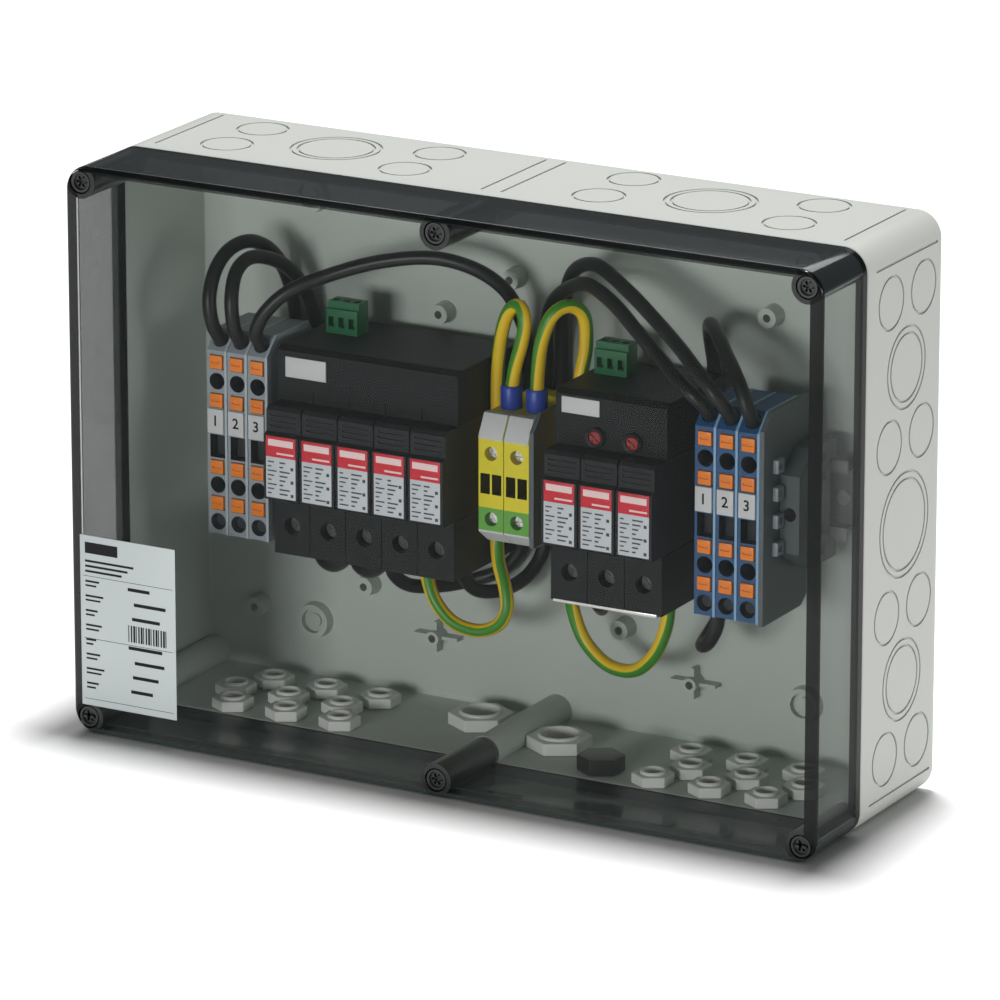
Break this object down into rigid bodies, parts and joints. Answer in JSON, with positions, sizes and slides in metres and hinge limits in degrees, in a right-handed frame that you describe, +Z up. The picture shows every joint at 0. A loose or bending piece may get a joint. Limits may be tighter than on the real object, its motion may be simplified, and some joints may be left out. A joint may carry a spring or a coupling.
{
  "type": "dc combiner box",
  "caption": "Wall-mounted solar string combiner box: grey enclosure with smoky lid, rail-mounted terminals, plug-in surge arresters, earth terminals and wiring.",
  "frame": {"origin": "middle of the closed box's bottom face", "axes": "+X across the width, +Y from the lid towards the wall, +Z up"},
  "size_m": [0.361, 0.111, 0.254],
  "materials": {
    "enclosure_grey": "fine satin grain, light grey",
    "smoky_lid": "clear smoked polycarbonate, polished",
    "gasket": "matt foam",
    "screw_black": "satin black",
    "zinc_steel": "bright zinc plating",
    "terminal_grey": "satin",
    "terminal_blue": "satin",
    "button_orange": "satin gloss",
    "device_black": "fine grain black",
    "plug_black": "fine grain black with printed label",
    "connector_green": "satin",
    "terminal_yellow": "satin yellow with green lower clamp",
    "bracket_grey": "satin",
    "nut_grey": "satin light grey",
    "cable_black": "satin jacket",
    "cable_green_yellow": "satin jacket, green stripe on yellow"
  },
  "bodies": {
    "enclosure": {"base_shell": "enclosure_grey", "lid_gasket": "gasket", "din_rail": "zinc_steel", "rail_screw_left": "zinc_steel", "rail_screw_right": "zinc_steel", "string_terminal_1": "terminal_grey", "return_terminal_1": "terminal_blue", "string_terminal_2": "terminal_grey", "return_terminal_2": "terminal_blue", "string_terminal_3": "terminal_grey", "return_terminal_3": "terminal_blue", "string_spd_base": "device_black", "earth_spd_base": "device_black", "earth_terminal_1": "terminal_yellow", "earth_terminal_2": "terminal_yellow", "earth_end_cover": "terminal_grey", "return_end_cover": "terminal_grey", "end_bracket": "bracket_grey", "large_entry_left_sleeve": "nut_grey", "large_entry_left_nut": "nut_grey", "large_entry_right_sleeve": "nut_grey", "large_entry_right_nut": "nut_grey", "vent_plug": "screw_black", "string_wire_1": "cable_black", "string_wire_2": "cable_black", "string_wire_3": "cable_black", "return_wire_1": "cable_black", "return_wire_2": "cable_black", "return_wire_3": "cable_black", "earth_wire_left": "cable_green_yellow", "earth_wire_right": "cable_green_yellow"},
    "lid": {"lid": "smoky_lid"},
    "lid_screw_1": {"lid_screw_1": "screw_black"},
    "lid_screw_2": {"lid_screw_2": "screw_black"},
    "lid_screw_3": {"lid_screw_3": "screw_black"},
    "lid_screw_4": {"lid_screw_4": "screw_black"},
    "lid_screw_5": {"lid_screw_5": "screw_black"},
    "lid_screw_6": {"lid_screw_6": "screw_black"},
    "string_spd_plug_1": {"string_spd_plug_1": "plug_black"},
    "string_spd_plug_2": {"string_spd_plug_2": "plug_black"},
    "string_spd_plug_3": {"string_spd_plug_3": "plug_black"},
    "string_spd_plug_4": {"string_spd_plug_4": "plug_black"},
    "string_spd_plug_5": {"string_spd_plug_5": "plug_black"},
    "string_spd_signal_connector": {"string_spd_signal_connector": "connector_green"},
    "earth_spd_plug_1": {"earth_spd_plug_1": "plug_black"},
    "earth_spd_plug_2": {"earth_spd_plug_2": "plug_black"},
    "earth_spd_plug_3": {"earth_spd_plug_3": "plug_black"},
    "earth_spd_signal_connector": {"earth_spd_signal_connector": "connector_green"},
    "string_terminal_1_button_upper": {"string_terminal_1_button_upper": "button_orange"},
    "string_terminal_1_button_lower": {"string_terminal_1_button_lower": "button_orange"},
    "string_terminal_2_button_upper": {"string_terminal_2_button_upper": "button_orange"},
    "string_terminal_2_button_lower": {"string_terminal_2_button_lower": "button_orange"},
    "string_terminal_3_button_upper": {"string_terminal_3_button_upper": "button_orange"},
    "string_terminal_3_button_lower": {"string_terminal_3_button_lower": "button_orange"},
    "return_terminal_1_button_upper": {"return_terminal_1_button_upper": "button_orange"},
    "return_terminal_1_button_lower": {"return_terminal_1_button_lower": "button_orange"},
    "return_terminal_2_button_upper": {"return_terminal_2_button_upper": "button_orange"},
    "return_terminal_2_button_lower": {"return_terminal_2_button_lower": "button_orange"},
    "return_terminal_3_button_upper": {"return_terminal_3_button_upper": "button_orange"},
    "return_terminal_3_button_lower": {"return_terminal_3_button_lower": "button_orange"}
  },
  "joints": [
    {"name": "lid_pull_off", "type": "slide", "parent": "enclosure", "child": "lid", "axis": [0, -1, 0], "range_m": [0, 0.12]},
    {"name": "lid_screw_1_turn", "type": "hinge", "parent": "lid", "child": "lid_screw_1", "pos_m": [-0.1732, -0.0525, 0.0073], "axis": [0, -1, 0], "continuous": true},
    {"name": "lid_screw_2_turn", "type": "hinge", "parent": "lid", "child": "lid_screw_2", "pos_m": [0, -0.0525, 0.0073], "axis": [0, -1, 0], "continuous": true},
    {"name": "lid_screw_3_turn", "type": "hinge", "parent": "lid", "child": "lid_screw_3", "pos_m": [0.1732, -0.0525, 0.0073], "axis": [0, -1, 0], "continuous": true},
    {"name": "lid_screw_4_turn", "type": "hinge", "parent": "lid", "child": "lid_screw_4", "pos_m": [-0.1732, -0.0525, 0.2467], "axis": [0, -1, 0], "continuous": true},
    {"name": "lid_screw_5_turn", "type": "hinge", "parent": "lid", "child": "lid_screw_5", "pos_m": [0, -0.0525, 0.2467], "axis": [0, -1, 0], "continuous": true},
    {"name": "lid_screw_6_turn", "type": "hinge", "parent": "lid", "child": "lid_screw_6", "pos_m": [0.1732, -0.0525, 0.2467], "axis": [0, -1, 0], "continuous": true},
    {"name": "string_spd_plug_1_pull", "type": "slide", "parent": "enclosure", "child": "string_spd_plug_1", "axis": [0, -1, 0], "range_m": [0, 0.02]},
    {"name": "string_spd_plug_2_pull", "type": "slide", "parent": "enclosure", "child": "string_spd_plug_2", "axis": [0, -1, 0], "range_m": [0, 0.02]},
    {"name": "string_spd_plug_3_pull", "type": "slide", "parent": "enclosure", "child": "string_spd_plug_3", "axis": [0, -1, 0], "range_m": [0, 0.02]},
    {"name": "string_spd_plug_4_pull", "type": "slide", "parent": "enclosure", "child": "string_spd_plug_4", "axis": [0, -1, 0], "range_m": [0, 0.02]},
    {"name": "string_spd_plug_5_pull", "type": "slide", "parent": "enclosure", "child": "string_spd_plug_5", "axis": [0, -1, 0], "range_m": [0, 0.02]},
    {"name": "string_spd_signal_connector_pull", "type": "slide", "parent": "enclosure", "child": "string_spd_signal_connector", "axis": [0, 0, 1], "range_m": [0, 0.008]},
    {"name": "earth_spd_plug_1_pull", "type": "slide", "parent": "enclosure", "child": "earth_spd_plug_1", "axis": [0, -1, 0], "range_m": [0, 0.02]},
    {"name": "earth_spd_plug_2_pull", "type": "slide", "parent": "enclosure", "child": "earth_spd_plug_2", "axis": [0, -1, 0], "range_m": [0, 0.02]},
    {"name": "earth_spd_plug_3_pull", "type": "slide", "parent": "enclosure", "child": "earth_spd_plug_3", "axis": [0, -1, 0], "range_m": [0, 0.02]},
    {"name": "earth_spd_signal_connector_pull", "type": "slide", "parent": "enclosure", "child": "earth_spd_signal_connector", "axis": [0, 0, 1], "range_m": [0, 0.008]},
    {"name": "string_terminal_1_button_upper_press", "type": "slide", "parent": "enclosure", "child": "string_terminal_1_button_upper", "axis": [0, 1, 0], "range_m": [0, 0.0015], "stiffness_N_per_m": 2000, "springref_m": -0.0005},
    {"name": "string_terminal_1_button_lower_press", "type": "slide", "parent": "enclosure", "child": "string_terminal_1_button_lower", "axis": [0, 1, 0], "range_m": [0, 0.0015], "stiffness_N_per_m": 2000, "springref_m": -0.0005},
    {"name": "string_terminal_2_button_upper_press", "type": "slide", "parent": "enclosure", "child": "string_terminal_2_button_upper", "axis": [0, 1, 0], "range_m": [0, 0.0015], "stiffness_N_per_m": 2000, "springref_m": -0.0005},
    {"name": "string_terminal_2_button_lower_press", "type": "slide", "parent": "enclosure", "child": "string_terminal_2_button_lower", "axis": [0, 1, 0], "range_m": [0, 0.0015], "stiffness_N_per_m": 2000, "springref_m": -0.0005},
    {"name": "string_terminal_3_button_upper_press", "type": "slide", "parent": "enclosure", "child": "string_terminal_3_button_upper", "axis": [0, 1, 0], "range_m": [0, 0.0015], "stiffness_N_per_m": 2000, "springref_m": -0.0005},
    {"name": "string_terminal_3_button_lower_press", "type": "slide", "parent": "enclosure", "child": "string_terminal_3_button_lower", "axis": [0, 1, 0], "range_m": [0, 0.0015], "stiffness_N_per_m": 2000, "springref_m": -0.0005},
    {"name": "return_terminal_1_button_upper_press", "type": "slide", "parent": "enclosure", "child": "return_terminal_1_button_upper", "axis": [0, 1, 0], "range_m": [0, 0.0015], "stiffness_N_per_m": 2000, "springref_m": -0.0005},
    {"name": "return_terminal_1_button_lower_press", "type": "slide", "parent": "enclosure", "child": "return_terminal_1_button_lower", "axis": [0, 1, 0], "range_m": [0, 0.0015], "stiffness_N_per_m": 2000, "springref_m": -0.0005},
    {"name": "return_terminal_2_button_upper_press", "type": "slide", "parent": "enclosure", "child": "return_terminal_2_button_upper", "axis": [0, 1, 0], "range_m": [0, 0.0015], "stiffness_N_per_m": 2000, "springref_m": -0.0005},
    {"name": "return_terminal_2_button_lower_press", "type": "slide", "parent": "enclosure", "child": "return_terminal_2_button_lower", "axis": [0, 1, 0], "range_m": [0, 0.0015], "stiffness_N_per_m": 2000, "springref_m": -0.0005},
    {"name": "return_terminal_3_button_upper_press", "type": "slide", "parent": "enclosure", "child": "return_terminal_3_button_upper", "axis": [0, 1, 0], "range_m": [0, 0.0015], "stiffness_N_per_m": 2000, "springref_m": -0.0005},
    {"name": "return_terminal_3_button_lower_press", "type": "slide", "parent": "enclosure", "child": "return_terminal_3_button_lower", "axis": [0, 1, 0], "range_m": [0, 0.0015], "stiffness_N_per_m": 2000, "springref_m": -0.0005}
  ]
}
